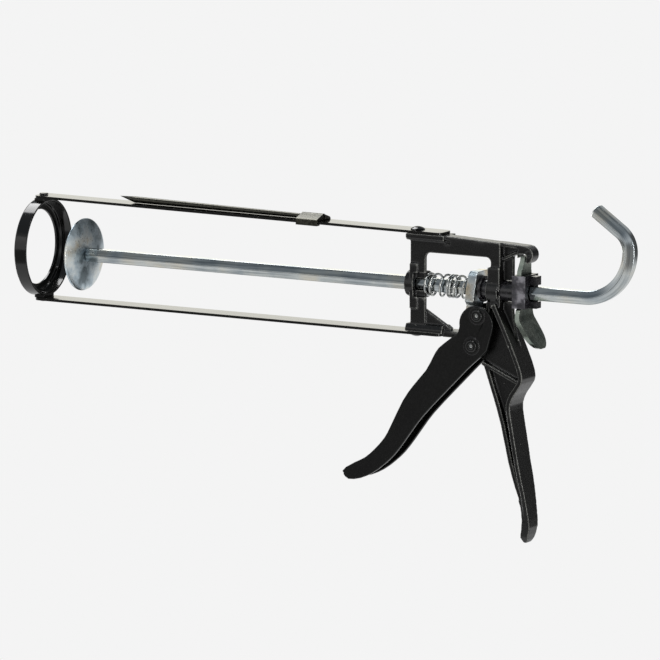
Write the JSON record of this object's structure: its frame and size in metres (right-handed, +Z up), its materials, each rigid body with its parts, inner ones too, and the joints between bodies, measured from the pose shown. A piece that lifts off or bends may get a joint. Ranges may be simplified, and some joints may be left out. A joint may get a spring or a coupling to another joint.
{
  "type": "caulking gun",
  "caption": "Hand-operated skeleton caulking gun: open rail cradle, hooked push rod with piston, squeeze trigger with gripping plate and thumb release.",
  "frame": {"origin": "middle of the fixed handle, on the gun's plane of symmetry, where a hand holds it", "axes": "+X towards the hooked end of the push rod and along it, -X towards the nozzle end, +Z up with the gun level, +Y the user's right"},
  "size_m": [0.3774, 0.055, 0.1857],
  "materials": {
    "black_enamel": "gloss black enamel on steel",
    "black_powder_coat": "semi-gloss black powder coat on a die casting",
    "zinc_plate": "bright zinc plate",
    "dull_zinc": "dull grey-green passivated zinc plate",
    "spring_steel": "bright plated spring wire",
    "black_moulding": "mottled dark grey moulded plastic",
    "gunmetal": "dark phosphated steel"
  },
  "bodies": {
    "frame": {"front_ring": "black_enamel", "top_rail": "black_enamel", "bottom_rail": "black_enamel", "ring_rivet_top": "black_enamel", "ring_rivet_bottom": "black_enamel", "rail_rivet_top": "black_enamel", "rail_rivet_bottom": "black_enamel", "body_casting": "black_powder_coat", "main_spring": "spring_steel", "trigger_pivot_pin": "black_enamel"},
    "rod": {"push_rod": "zinc_plate", "piston_disc": "zinc_plate", "piston_washer": "zinc_plate"},
    "trigger": {"trigger": "black_powder_coat", "trigger_drive_pin": "black_enamel", "drive_bush": "gunmetal"},
    "release_lever": {"release_lever": "dull_zinc"},
    "release_block": {"release_block": "black_moulding", "thrust_flange": "black_moulding"},
    "drive_plate": {"drive_plate": "zinc_plate"},
    "needle": {"puncture_needle": "gunmetal", "needle_clip": "gunmetal"}
  },
  "joints": [
    {"name": "rod_slide", "type": "slide", "parent": "frame", "child": "rod", "axis": [-1, 0, 0], "range_m": [-0.205, 0.025]},
    {"name": "trigger_squeeze", "type": "hinge", "parent": "frame", "child": "trigger", "pos_m": [-0.0194, 0, 0.0396], "axis": [0, -1, 0], "range_deg": [0, 45], "stiffness_Nm_per_rad": 0.9, "springref_deg": -28.65},
    {"name": "release_press", "type": "hinge", "parent": "frame", "child": "release_lever", "pos_m": [0.0109, 0, 0.088], "axis": [0, 1, 0], "range_deg": [0, 5], "stiffness_Nm_per_rad": 2, "springref_deg": -8.59},
    {"name": "block_slide", "type": "slide", "parent": "frame", "child": "release_block", "axis": [-1, 0, 0], "range_m": [0, 0.00158]},
    {"name": "plate_slide", "type": "slide", "parent": "release_block", "child": "drive_plate", "axis": [-1, 0, 0], "range_m": [0, 0.0135], "deforming": ["main_spring"]},
    {"name": "needle_slide", "type": "slide", "parent": "frame", "child": "needle", "axis": [-0.9999, 0, 0.0103], "range_m": [-0.05, 0.045]}
  ],
  "couplings": [
    {"joint": "plate_slide", "follows": "trigger_squeeze", "m_per_rad": 0.017},
    {"joint": "block_slide", "follows": "release_press", "m_per_rad": 0.018}
  ]
}
